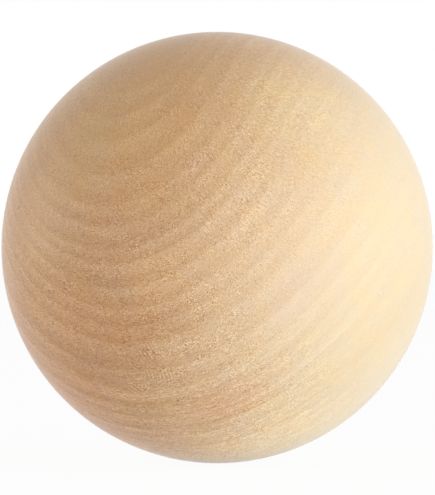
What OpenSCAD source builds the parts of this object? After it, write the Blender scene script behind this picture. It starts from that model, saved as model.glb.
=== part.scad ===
// Turned wooden ball: one piece of solid wood, sanded and left bare.
// The origin is the centre of the ball, and +Z is up.

/* [Ball] */
// Diameter of the finished ball, in millimetres
ball_d = 50; // [20:1:100]

/* [Hidden] */

// Facets round a full circle of the ball in a preview
ball_facets = 128;

// The whole ball. It has no bore, flat or seam, so its section is a full disc in every direction.
module ball() {
    color("burlywood") sphere(d = ball_d, $fn = ball_facets);
}

ball();
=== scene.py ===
"""Dresses the turned wooden ball: bare solid wood with its growth rings, pores, rays and tool ridges."""
import math

import bpy
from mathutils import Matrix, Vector


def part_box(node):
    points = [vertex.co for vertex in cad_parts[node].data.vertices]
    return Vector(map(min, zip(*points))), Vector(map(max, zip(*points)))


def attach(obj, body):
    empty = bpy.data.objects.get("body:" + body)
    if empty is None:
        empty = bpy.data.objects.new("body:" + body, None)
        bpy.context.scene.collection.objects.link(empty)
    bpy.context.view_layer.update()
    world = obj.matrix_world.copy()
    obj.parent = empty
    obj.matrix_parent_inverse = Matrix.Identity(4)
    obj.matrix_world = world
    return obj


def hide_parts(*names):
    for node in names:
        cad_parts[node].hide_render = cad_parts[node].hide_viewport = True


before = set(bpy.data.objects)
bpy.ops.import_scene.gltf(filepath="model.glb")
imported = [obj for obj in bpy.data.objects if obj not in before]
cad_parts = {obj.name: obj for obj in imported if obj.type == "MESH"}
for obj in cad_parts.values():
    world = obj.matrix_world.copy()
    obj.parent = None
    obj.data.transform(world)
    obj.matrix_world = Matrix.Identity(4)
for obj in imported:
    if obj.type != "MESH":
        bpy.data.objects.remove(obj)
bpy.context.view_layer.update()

MM = 0.001

# ---- The tree that the ball was turned from, in millimetres from the centre of the ball ----

# The pith is the middle of the growth rings. It runs just outside the ball, above and to the left.
PITH_PLACE = Vector((-9.2, -5.9, 26.4))
GRAIN = Vector((0.26, 0.92, 0.30)).normalized()
ACROSS = Vector((0, 0, 1)).cross(GRAIN).normalized()
OUTWARD = ACROSS.cross(GRAIN).normalized()

# Where the dark late wood of each growth ring lies, in mm from the pith: the rings inside INNER_END, and
# the rings from there to BARK_END. LATE_TO_EARLY is how far past it the wood is at its palest.
INNER_LATE_WOOD = [6, 8, 10, 13, 16, 18, 20.5, 22, 24.5]
OUTER_LATE_WOOD = [27, 29, 31, 34.5, 37, 39.5, 41, 43, 46]
INNER_END = 26
BARK_END = 54
LATE_TO_EARLY = 0.5

# Clouds in the wood, and one painted pool of light on the bottom rim: distance from the pith, angle round it,
# half height in mm, half width in degrees, and how much paler they make the red, green and blue of the wood,
# in percent.
CLOUDS_AND_PAINTED_LIGHT = [
    (20, -30, 3, 15, -5, -5, -5),
    (20, 0, 5, 25, -5, -5, 0),
    (25, -5, 2, 10, -10, -10, -5),
    (30, -10, 4, 15, -10, -15, -20),
    (32, -15, 2, 5, 5, 10, 15),
    (35, 0, 3, 15, -10, -10, -10),
    (41, -20, 3, 10, 0, -10, -15),
    (40, -5, 2, 10, -5, -5, -10),
    (10, 5, 5, 15, 0, 5, 5),
    (25, 25, 10, 10, 5, 5, 0),
    (22, -70, 8, 10, 5, 10, 5),
    (35, -40, 5, 10, 0, 0, 5),
    # Painted light: the bottom rim is painted paler, standing in for light from below
    (48, -10, 4, 20, 10, 10, 10),
]

# Short crisp streaks: distance from the pith, angle round it, half height in mm, half width in degrees,
# and how pale they are.
STREAKS = [
    (42, -30, 0.3, 20, 1.5),
    (38, -20, 0.5, 10, 1),
    (43, -20, 0.3, 10, -1),
]

# Where the fine grain stands out on the front, and where it lies quiet: middle x and z, half width and
# half height in mm, and how much stronger the grain is.
GRAIN_PATCHES = [
    (-5, 8, 8, 8, 0.2),
    (-8, -12, 8, 6, 0.2),
    (10, -5, 8, 8, -0.4),
]

# Fine ridges that the tool left on the front: middle x and z, half width and half height in mm,
# turn of the ridges in degrees, where 0 is upright, and pitch in mm.
RIDGES = [
    (-7.4, -11.3, 1.3, 1.1, 33, 0.36),
    (-5.8, -13.9, 2.1, 0.9, 17, 0.39),
    (-8.7, -15.5, 1.0, 0.6, 55, 0.36),
]
RIDGE_DEPTH = 0.02

# A soft oval fades from full at SOFT_CORE of its reach to nothing at SOFT_EDGE.
SOFT_CORE = 0.2
SOFT_EDGE = 1.3

# Ways across the front of the ball, as a viewer in front of it sees them.
RIGHT = Vector((1, 0, 0))
UP = Vector((0, 0, 1))
RIGHT_AND_DOWN = Vector((0.94, 0, -0.34))
RIGHT_AND_UP = Vector((0.9, 0, 0.45))
UP_AND_RIGHT = Vector((0.5, 0, 0.85))
UP_AND_LEFT = Vector((-0.5, 0, 0.85))
LEFT_AND_UP = Vector((-0.6, 0, 0.8))


# ---- Shader maths ----


class Shade:
    """One output of a node, on which + - * / and ** add Math nodes."""

    def __init__(self, nodes, socket):
        self.nodes = nodes
        self.socket = socket

    def maths(self, operation, *values):
        return self.nodes.node("ShaderNodeMath", {"operation": operation}, dict(enumerate(values)))

    def __add__(self, other):
        return self.maths("ADD", self, other)

    def __radd__(self, other):
        return self.maths("ADD", other, self)

    def __sub__(self, other):
        return self.maths("SUBTRACT", self, other)

    def __rsub__(self, other):
        return self.maths("SUBTRACT", other, self)

    def __mul__(self, other):
        return self.maths("MULTIPLY", self, other)

    def __rmul__(self, other):
        return self.maths("MULTIPLY", other, self)

    def __truediv__(self, other):
        return self.maths("DIVIDE", self, other)

    def __rtruediv__(self, other):
        return self.maths("DIVIDE", other, self)

    def __pow__(self, other):
        return self.maths("POWER", self, other)


class Nodes:
    """The nodes of one material or world."""

    def __init__(self, owner):
        owner.use_nodes = True
        self.tree = owner.node_tree
        self.tree.nodes.clear()

    def node(self, kind, settings=None, values=None, output=0):
        """Adds a node, sets its settings first and then its sockets, and gives back one of its outputs."""
        made = self.tree.nodes.new(kind)
        for name, setting in (settings or {}).items():
            if name == "points":
                self.shape_curve(made, setting)
            else:
                setattr(made, name, setting)
        for name, value in (values or {}).items():
            if isinstance(value, Shade):
                self.tree.links.new(value.socket, made.inputs[name])
            else:
                made.inputs[name].default_value = value
        return Shade(self, made.outputs[output]) if made.outputs else made

    def shape_curve(self, made, points):
        """Bends a Float Curve through points with x and y from 0 to 1."""
        made.mapping.extend = "HORIZONTAL"
        line = made.mapping.curves[0]
        while len(line.points) < len(points):
            line.points.new(0.5, 0.5)
        for point, place in zip(line.points, points):
            point.location = place
            point.handle_type = "AUTO_CLAMPED"
        made.mapping.update()

    def curve(self, value, points, low, high):
        """Looks a value up in a list of (value, result), with results from low to high."""
        start = points[0][0]
        span = points[-1][0] - start
        shares = [((x - start) / span, (y - low) / (high - low)) for x, y in points]
        looked_up = self.node("ShaderNodeFloatCurve", {"points": shares}, {"Value": (value - start) / span})
        return looked_up * (high - low) + low

    def fade(self, value, start, end):
        """Rises softly from 0 at start to 1 at end."""
        return self.node(
            "ShaderNodeMapRange",
            {"interpolation_type": "SMOOTHSTEP", "clamp": False},
            {"Value": value, "From Min": start, "From Max": end},
        )

    def vector(self, x, y, z):
        return self.node("ShaderNodeCombineXYZ", None, {0: x, 1: y, 2: z})

    def dot(self, vector, direction):
        """How far a place lies along a direction."""
        inputs = {0: vector, 1: direction}
        return self.node("ShaderNodeVectorMath", {"operation": "DOT_PRODUCT"}, inputs, "Value")

    def noise(self, place, scale, detail=0.0, roughness=0.5):
        """Soft noise about 0, mostly between -1 and 1."""
        raw = self.node(
            "ShaderNodeTexNoise",
            {"noise_dimensions": "3D"},
            {"Vector": place, "Scale": scale, "Detail": detail, "Roughness": roughness},
        )
        return raw * 4 - 2

    def cloud(self, place, middle, reach):
        """A soft oval cloud: 1 in its middle, and 0 outside its reach."""
        scale = (1 / reach[0], 1 / reach[1], 0)
        start = (-middle[0] / reach[0], -middle[1] / reach[1], 0)
        inputs = {0: place, 1: scale, 2: start}
        away = self.node("ShaderNodeVectorMath", {"operation": "MULTIPLY_ADD"}, inputs)
        away = self.node("ShaderNodeVectorMath", {"operation": "LENGTH"}, {0: away}, "Value")
        return self.node(
            "ShaderNodeMapRange",
            {"interpolation_type": "SMOOTHSTEP", "clamp": False},
            {"Value": away, "From Min": SOFT_EDGE, "From Max": SOFT_CORE},
        )

    def add_part(self, total, share, tint):
        """Adds a share of a tint to a running total."""
        part = self.node("ShaderNodeVectorMath", {"operation": "SCALE"}, {0: tint, "Scale": share})
        return self.node("ShaderNodeVectorMath", {"operation": "ADD"}, {0: total, 1: part})

    def tint(self, colour, red, green, blue):
        """Makes a colour paler or darker by a share of its red, green and blue."""
        return self.mix(1.0, colour, self.vector(red + 1, green + 1, blue + 1), "MULTIPLY")

    def mix(self, share, first, second, blend="MIX"):
        """Mixes two colours, or blends the second over the first."""
        return self.node(
            "ShaderNodeMix",
            {"data_type": "RGBA", "blend_type": blend},
            {0: share, 6: first, 7: second},
            output=2,
        )


# ---- The wood ----

HEARTWOOD = (0.66, 0.395, 0.19, 1)
OUTER_WOOD = (0.76, 0.42, 0.21, 1)
# Pale sapwood with a painted highlight in it: the right flank is painted paler where the key lamp falls on it
SAPWOOD_AND_HIGHLIGHT = (0.84, 0.685, 0.46, 1)


def ring_tones(late_wood, start, end):
    """How pale the wood is, by distance from the pith: each ring darkens slowly and turns pale at once."""
    tones = [(start, 0)]
    for distance in late_wood:
        tones.append((distance, -1))
        tones.append((distance + LATE_TO_EARLY, 1))
    tones.append((end, 0))
    return tones


def place_in_tree(n, here_mm):
    """Place along the grain, across it and out from the pith in mm, and angle round the pith in degrees."""
    along = n.dot(here_mm, GRAIN)
    sideways = n.dot(here_mm, ACROSS) - PITH_PLACE.dot(ACROSS)
    outward = n.dot(here_mm, OUTWARD) - PITH_PLACE.dot(OUTWARD)
    angle = sideways.maths("ARCTAN2", sideways, outward) * math.degrees(1)
    return along, sideways, outward, angle


def bent_ring(n, here_mm, sideways, outward, angle):
    """Distance from the pith. The rings lie in on both flanks, the inner ones sag, and all waver a little."""
    from_pith = (sideways * sideways + outward * outward) ** 0.5
    pull_left = (angle + 5).maths("MAXIMUM", angle + 5, 0) * 0.1 * n.fade(from_pith, 17, 30)
    pull_left = pull_left * (1 - n.fade(from_pith, 24, 44) * 0.35)
    pull_right = n.fade(from_pith, 16, 20) * 0.5 + n.fade(from_pith, 31, 40)
    pull_right = pull_right * n.fade(angle, -10, -55)
    sag = (angle + 12) * (angle + 12) / 2000
    sag = sag.maths("MINIMUM", sag, 1.6) * n.fade(from_pith, 14.5, 7.5) * 1.1
    waver = n.noise(here_mm, 1 / 5.0, 2) * 0.12
    return from_pith + pull_left + pull_right - sag + waver


def broad_grain(n, here_mm):
    """How strong the fine grain is: faded at the right, where a painted highlight washes it out, weak at the
    upper left and the top, and strong low down.
    """
    # Painted highlight: the grain fades towards the right, as if the key lamp washed it out
    strength = 1 - n.fade(n.dot(here_mm, RIGHT), -2, 19) * 0.85
    strength = strength * (1 - n.fade(n.dot(here_mm, LEFT_AND_UP), 4, 18) * 0.25)
    strength = strength * (1 + n.fade(n.dot(here_mm, UP_AND_RIGHT), 0, -8) * 0.27)
    return strength * (1 - n.fade(n.dot(here_mm, UP), 17, 23) * 0.35)


def grain_patches(n, place):
    """How much stronger the fine grain is at a place on the front."""
    stronger = 0
    for patch_x, patch_z, width, height, share in GRAIN_PATCHES:
        stronger = n.cloud(place, (patch_x, patch_z), (width, height)) * share + stronger
    return stronger


def cloud_and_light_tints(n, place):
    """How much paler each cloud and the painted light on the bottom rim make the red, green and blue."""
    tints = (0, 0, 0)
    for cloud_ring, cloud_angle, height, width, *tint in CLOUDS_AND_PAINTED_LIGHT:
        cloud = n.cloud(place, (cloud_ring, cloud_angle), (height, width))
        tints = n.add_part(tints, cloud, [share / 100 for share in tint])
    return tints


def streak_tones(n, place):
    """How pale the streaks are."""
    streaks = 0
    for streak_ring, streak_angle, height, width, pale in STREAKS:
        streaks = n.cloud(place, (streak_ring, streak_angle), (height, width)) * pale + streaks
    return streaks


def ridge_light_and_shade(n, here_mm, place):
    """Painted highlights on the crests and painted shade in the grooves of the tool ridges."""
    ridges = 0
    for ridge_x, ridge_z, width, height, turn, pitch in RIDGES:
        direction = Vector((math.cos(math.radians(turn)), 0, math.sin(math.radians(turn))))
        phase = n.dot(here_mm, direction * math.tau / pitch)
        patch = n.cloud(place, (ridge_x, ridge_z), (width, height))
        ridges = phase.maths("SINE", phase) * patch + ridges
    return ridges


def growth_tone(n, ring, angle, drift, streaks):
    """How pale the growth rings are, with the streaks, the pale outer rings low on the ball (sapwood, and
    painted light from below), and the faint inner flanks.
    """
    tone = n.curve(ring, ring_tones(INNER_LATE_WOOD, 0, INNER_END), -1, 1)
    tone = tone + n.curve(ring, ring_tones(OUTER_LATE_WOOD, INNER_END, BARK_END), -1, 1)
    # Past 46 mm from the pith, low on the ball, the wood is painted pale: partly sapwood, partly painted
    # light from below
    tone = tone * (drift * 0.5 + 0.7) + n.fade(ring, 46, 51) * 3
    tone = tone + streaks
    faint_left = n.fade(angle, 2, 22) * n.fade(ring, 19, 14) * 0.55
    faint_right = n.fade(angle, -42, -62) * n.fade(ring, 34, 26) * 0.3
    return tone * (n.fade(ring, 6, 13) * 0.4 + 0.6) * (1 - (faint_left + faint_right))


def thin_lines(n, ring, arc, along, lines):
    """Thin lines along the rings, stronger in the outer wood."""
    wander = n.noise(n.vector(ring / 0.9, arc / 9, along / 20), 1, 1)
    pale_lines = 1 - n.fade(wander.maths("ABSOLUTE", wander), 0, 0.1)
    dark_lines = 1 - n.fade((wander - 0.45).maths("ABSOLUTE", wander - 0.45), 0, 0.08)
    outer = n.fade(ring, 26, 44)
    return lines * (0.5 + outer * 0.9) + (pale_lines - dark_lines) * (0.3 + outer * 1.2)


def bare_wood():
    """Sanded bare wood, solid right through, with painted light on the right flank, low on the ball and on
    the tool ridges; its cloud tints, streaks, patches and ridges lie on the front.
    """
    wood = bpy.data.materials.new("bare_wood")
    n = Nodes(wood)
    here = n.node("ShaderNodeTexCoord", output="Object")
    here_mm = n.node("ShaderNodeVectorMath", {"operation": "SCALE"}, {0: here, "Scale": 1 / MM})
    along, sideways, outward, angle = place_in_tree(n, here_mm)
    ring = bent_ring(n, here_mm, sideways, outward, angle)
    arc = angle * 0.45
    front = n.fade(along, 0, -8)

    # Broad colour: brown heartwood, paler towards the bark, and pale sapwood on the right flank, made paler
    # still there by a painted highlight where the key lamp falls
    flank = n.fade(n.dot(here_mm, RIGHT_AND_DOWN), -12, 18)
    colour = n.mix(n.fade(ring, 5, 50), HEARTWOOD, OUTER_WOOD)
    colour = n.mix(flank, colour, SAPWOOD_AND_HIGHLIGHT)

    # Clouds on the front, and a painted pool of light on the bottom rim
    smudge = n.noise(here_mm, 1 / 1.6, 2)
    smudged_place = n.vector(ring + smudge * 0.3, angle + smudge * 1.2, 0)
    clouds_and_light = cloud_and_light_tints(n, smudged_place)
    colour = n.mix(1.0, colour, n.add_part((1, 1, 1), front, clouds_and_light), "MULTIPLY")

    # Grain patches, and painted highlight and shade on the tool ridges, on the front
    fleck = n.noise(here_mm, 1 / 0.5, 1) * 0.08
    front_place = n.vector(n.dot(here_mm, RIGHT) + fleck, n.dot(here_mm, UP) + fleck, 0)
    strength = broad_grain(n, here_mm) * (1 + grain_patches(n, front_place) * front)
    strength = strength * (smudge * 0.5 + 1)
    # Painted highlight and shade: the ridges' crests are painted paler and their grooves darker
    ridges = ridge_light_and_shade(n, here_mm, front_place) * front * 0.2
    colour = n.tint(colour, ridges * 0.7, ridges, ridges * 1.3)

    # Growth rings, with thin lines along them
    drift = n.noise(here_mm, 1 / 7.0, 3)
    streaks = streak_tones(n, n.vector(ring, angle, 0)) * front
    tone = growth_tone(n, ring, angle, drift, streaks)
    # The rings fade out under the painted highlight on the right flank, and a little towards the upper right
    contrast = 1 - flank * 0.74 - n.fade(n.dot(here_mm, RIGHT_AND_UP), 12, 20) * 0.2
    hush = n.fade(n.dot(here_mm, RIGHT_AND_UP), -10, 14)
    lines = n.noise(n.vector(ring / 0.5, arc / 6, along / 12), 1, 2, 0.7)
    threads = thin_lines(n, ring, arc, along, lines)
    depth = ((tone + drift * 0.5) * contrast + threads * (1 - hush)) * 0.1
    colour = n.tint(colour, depth * 0.55, depth, depth * 1.5)
    brown = n.noise(n.vector(sideways + 40, outward, along), 1 / 3.0, 4) * 0.07
    colour = n.tint(colour, brown * 0.4, brown * 0.15, brown * -0.9)

    # Pores, short fibres along the rings, and rays across them
    pores = n.noise(n.vector(sideways / 0.11, outward / 0.11, along / 0.45), 1, 1, 0.8)
    fibres = n.noise(n.vector(ring / 0.13, arc / 0.4, along / 1.2), 1, 1)
    rays = n.noise(n.vector(ring / 0.45, arc / 0.12, along / 1.2), 1, 1)
    rays_here = n.fade(angle, -22, -42) * n.fade(ring, 40, 33)
    strokes = fibres * (1 - rays_here) + rays * rays_here
    upper = n.fade(n.dot(here_mm, UP_AND_LEFT), -2, 6)
    speckle = (pores * (0.42 - upper * 0.05) + strokes * (0.14 + upper * 0.08)) * strength
    colour = n.tint(colour, speckle * 0.6, speckle, speckle * 1.4)

    relief = (pores * 0.004 + strokes * 0.004 + lines * 0.003) * strength
    bumps = n.node("ShaderNodeBump", None, {"Strength": 1.0, "Distance": MM, "Height": relief})
    finish = n.node(
        "ShaderNodeBsdfPrincipled",
        None,
        {
            "Base Color": colour,
            "Roughness": pores * 0.03 + 0.52,
            "Specular IOR Level": 0.35,
            "Coat Weight": 1.0,
            "Coat Roughness": 0.3,
            "Coat IOR": 1.15,
            "Normal": bumps,
        },
    )
    n.node("ShaderNodeOutputMaterial", None, {"Surface": finish})
    return wood


# ---- The ball ----

# Each square of the bake map keeps this share of its width clear on every side.
BAKE_GAP = 0.012
# The finer facets reach this far past the ridges, in mm.
FINE_MARGIN = 0.3


def ridge_depth(x, z):
    """How deep the ridges are cut at a place on the front, in mm."""
    depth = 0
    for middle_x, middle_z, half_width, half_height, turn, pitch in RIDGES:
        away = math.hypot((x - middle_x) / half_width, (z - middle_z) / half_height)
        share = min(max((SOFT_EDGE - away) / (SOFT_EDGE - SOFT_CORE), 0), 1)
        share = share * share * (3 - 2 * share)
        across = x * math.cos(math.radians(turn)) + z * math.sin(math.radians(turn))
        depth += share * (0.5 - 0.5 * math.sin(across / pitch * math.tau))
    return depth * RIDGE_DEPTH


def near_ridges(x, z):
    """Whether a place on the front lies in or near the ridges."""
    return any(
        abs(x - middle_x) < half_width * SOFT_EDGE + FINE_MARGIN
        and abs(z - middle_z) < half_height * SOFT_EDGE + FINE_MARGIN
        for middle_x, middle_z, half_width, half_height, turn, pitch in RIDGES
    )


def round_off(ball, radius):
    """Moves every vertex onto the sphere."""
    rounding = ball.modifiers.new("rounding", "CAST")
    rounding.cast_type = "SPHERE"
    rounding.factor = 1
    rounding.use_radius_as_size = False
    rounding.size = radius
    bpy.ops.object.modifier_apply(modifier=rounding.name)


def turned_ball(centre, radius):
    """A round ball with a bake map of six squares, and finer facets where the tool left ridges."""
    bpy.ops.object.select_all(action="DESELECT")
    bpy.ops.mesh.primitive_cube_add(size=2 * radius, location=centre)
    ball = bpy.context.active_object
    ball.name = "turned_ball"
    bake_map = ball.data.uv_layers[0]
    bake_map.name = "OFBake"
    for face in ball.data.polygons:
        column = face.index % 3
        row = face.index // 3
        for corner, (u, v) in zip(face.loop_indices, ((0, 0), (1, 0), (1, 1), (0, 1))):
            across = column + BAKE_GAP + (1 - 2 * BAKE_GAP) * u
            up = row + BAKE_GAP + (1 - 2 * BAKE_GAP) * v
            bake_map.data[corner].uv = (across / 3, up / 2)

    facets = ball.modifiers.new("facets", "SUBSURF")
    facets.levels = 5
    facets.render_levels = 5
    facets.uv_smooth = "NONE"
    bpy.ops.object.modifier_apply(modifier=facets.name)
    bpy.ops.object.mode_set(mode="EDIT")
    bpy.ops.mesh.select_all(action="SELECT")
    bpy.ops.mesh.subdivide(number_cuts=2)
    bpy.ops.mesh.select_all(action="DESELECT")
    bpy.ops.object.mode_set(mode="OBJECT")
    round_off(ball, radius)

    # The facets that hold the ridges are cut finer
    for face in ball.data.polygons:
        x, y, z = face.center / MM
        face.select = y < 0 and near_ridges(x, z)
    bpy.ops.object.mode_set(mode="EDIT")
    bpy.ops.mesh.select_mode(type="FACE")
    bpy.ops.mesh.subdivide(number_cuts=5)
    bpy.ops.mesh.select_all(action="DESELECT")
    bpy.ops.object.mode_set(mode="OBJECT")
    round_off(ball, radius)
    for vertex in ball.data.vertices:
        if vertex.co.y < 0:
            x, y, z = vertex.co / MM
            vertex.co = vertex.co * (1 - ridge_depth(x, z) * MM / radius)

    bpy.ops.object.transform_apply(location=True, rotation=True, scale=True)
    bpy.ops.object.shade_smooth()
    return ball


# ---- Studio, in metres and watts ----

FLOOR_SIZE = 6
FLOOR_GLOW = 0.95
AIR_STRENGTH = 0.426
LAMP_DISTANCE = 0.5
KEY_POWER = 4.7
REAR_POWER = 0.81
CAMERA_DISTANCE = 0.32
BALL_SHARE = 0.8715
CAMERA_SHIFT = 0.0008


def seen_white(n):
    """1 for rays that show or mirror the backdrop, and 0 for rays that light the ball."""
    path = "ShaderNodeLightPath"
    seen = n.node(path, output="Is Camera Ray") + n.node(path, output="Is Glossy Ray")
    seen = seen + n.node(path, output="Is Transmission Ray")
    return seen.maths("MINIMUM", seen, 1)


def studio_floor(height):
    """A white paper floor that the ball rests on."""
    bpy.ops.object.select_all(action="DESELECT")
    bpy.ops.mesh.primitive_plane_add(size=FLOOR_SIZE, location=(0, 0, height))
    floor = bpy.context.active_object
    floor.name = "studio_floor"
    paper = bpy.data.materials.new("white_paper")
    n = Nodes(paper)
    matt = n.node("ShaderNodeBsdfDiffuse", None, {"Color": (0.95, 0.95, 0.95, 1)})
    glow = n.node("ShaderNodeEmission", None, {"Color": (1, 1, 1, 1), "Strength": 1.0})
    blend = n.node("ShaderNodeMixShader", None, {0: seen_white(n) * FLOOR_GLOW, 1: matt, 2: glow})
    n.node("ShaderNodeOutputMaterial", None, {"Surface": blend})
    floor.data.materials.append(paper)


def studio_air(strength):
    """Soft light from all round, and a white backdrop."""
    world = bpy.data.worlds.new("studio_air")
    bpy.context.scene.world = world
    n = Nodes(world)
    fill = n.node("ShaderNodeBackground", None, {"Color": (1, 1, 1, 1), "Strength": strength})
    white = n.node("ShaderNodeBackground", None, {"Color": (1, 1, 1, 1), "Strength": 1.0})
    blend = n.node("ShaderNodeMixShader", None, {0: seen_white(n), 1: fill, 2: white})
    n.node("ShaderNodeOutputWorld", None, {"Surface": blend})


def soft_lamp(name, azimuth, width, height, power):
    """A level rectangular lamp that faces the ball; azimuth 0 is to the right and 90 is behind the ball."""
    turn = math.radians(azimuth)
    place = LAMP_DISTANCE * Vector((math.cos(turn), math.sin(turn), 0))
    facing = (-place).to_track_quat("-Z", "Y").to_euler()
    bpy.ops.object.light_add(type="AREA", location=place, rotation=facing)
    lamp = bpy.context.active_object
    lamp.name = name
    lamp.data.shape = "RECTANGLE"
    lamp.data.size = width
    lamp.data.size_y = height
    lamp.data.energy = power
    return lamp


def studio_camera(radius, distance, share):
    """A level camera in front of the ball, which fills that share of the picture's height."""
    bpy.ops.object.camera_add(location=(0, -distance, 0), rotation=(math.radians(90), 0, 0))
    camera = bpy.context.active_object
    half_view = math.tan(math.asin(radius / distance)) / share
    camera.data.lens = camera.data.sensor_width / 2 / half_view
    camera.data.shift_x = CAMERA_SHIFT
    bpy.context.scene.camera = camera


low, high = (Vector(corner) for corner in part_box("ball"))
centre = (low + high) / 2
radius = min(high - low) / 2

ball = turned_ball(centre, radius)
ball.data.materials.append(bare_wood())
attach(ball, "root")
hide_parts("ball")

studio_floor(low.z)
studio_air(AIR_STRENGTH)
key_lamp = soft_lamp("key_lamp", -40, 1.1, 0.3, KEY_POWER)
# The key lamp isn't mirrored, so that no glare hides the edge of the ball
key_lamp.visible_glossy = False
soft_lamp("rear_lamp", 170, 0.3, 0.4, REAR_POWER)
studio_camera(radius, CAMERA_DISTANCE, BALL_SHARE)

scene = bpy.context.scene
scene.view_settings.view_transform = "Standard"
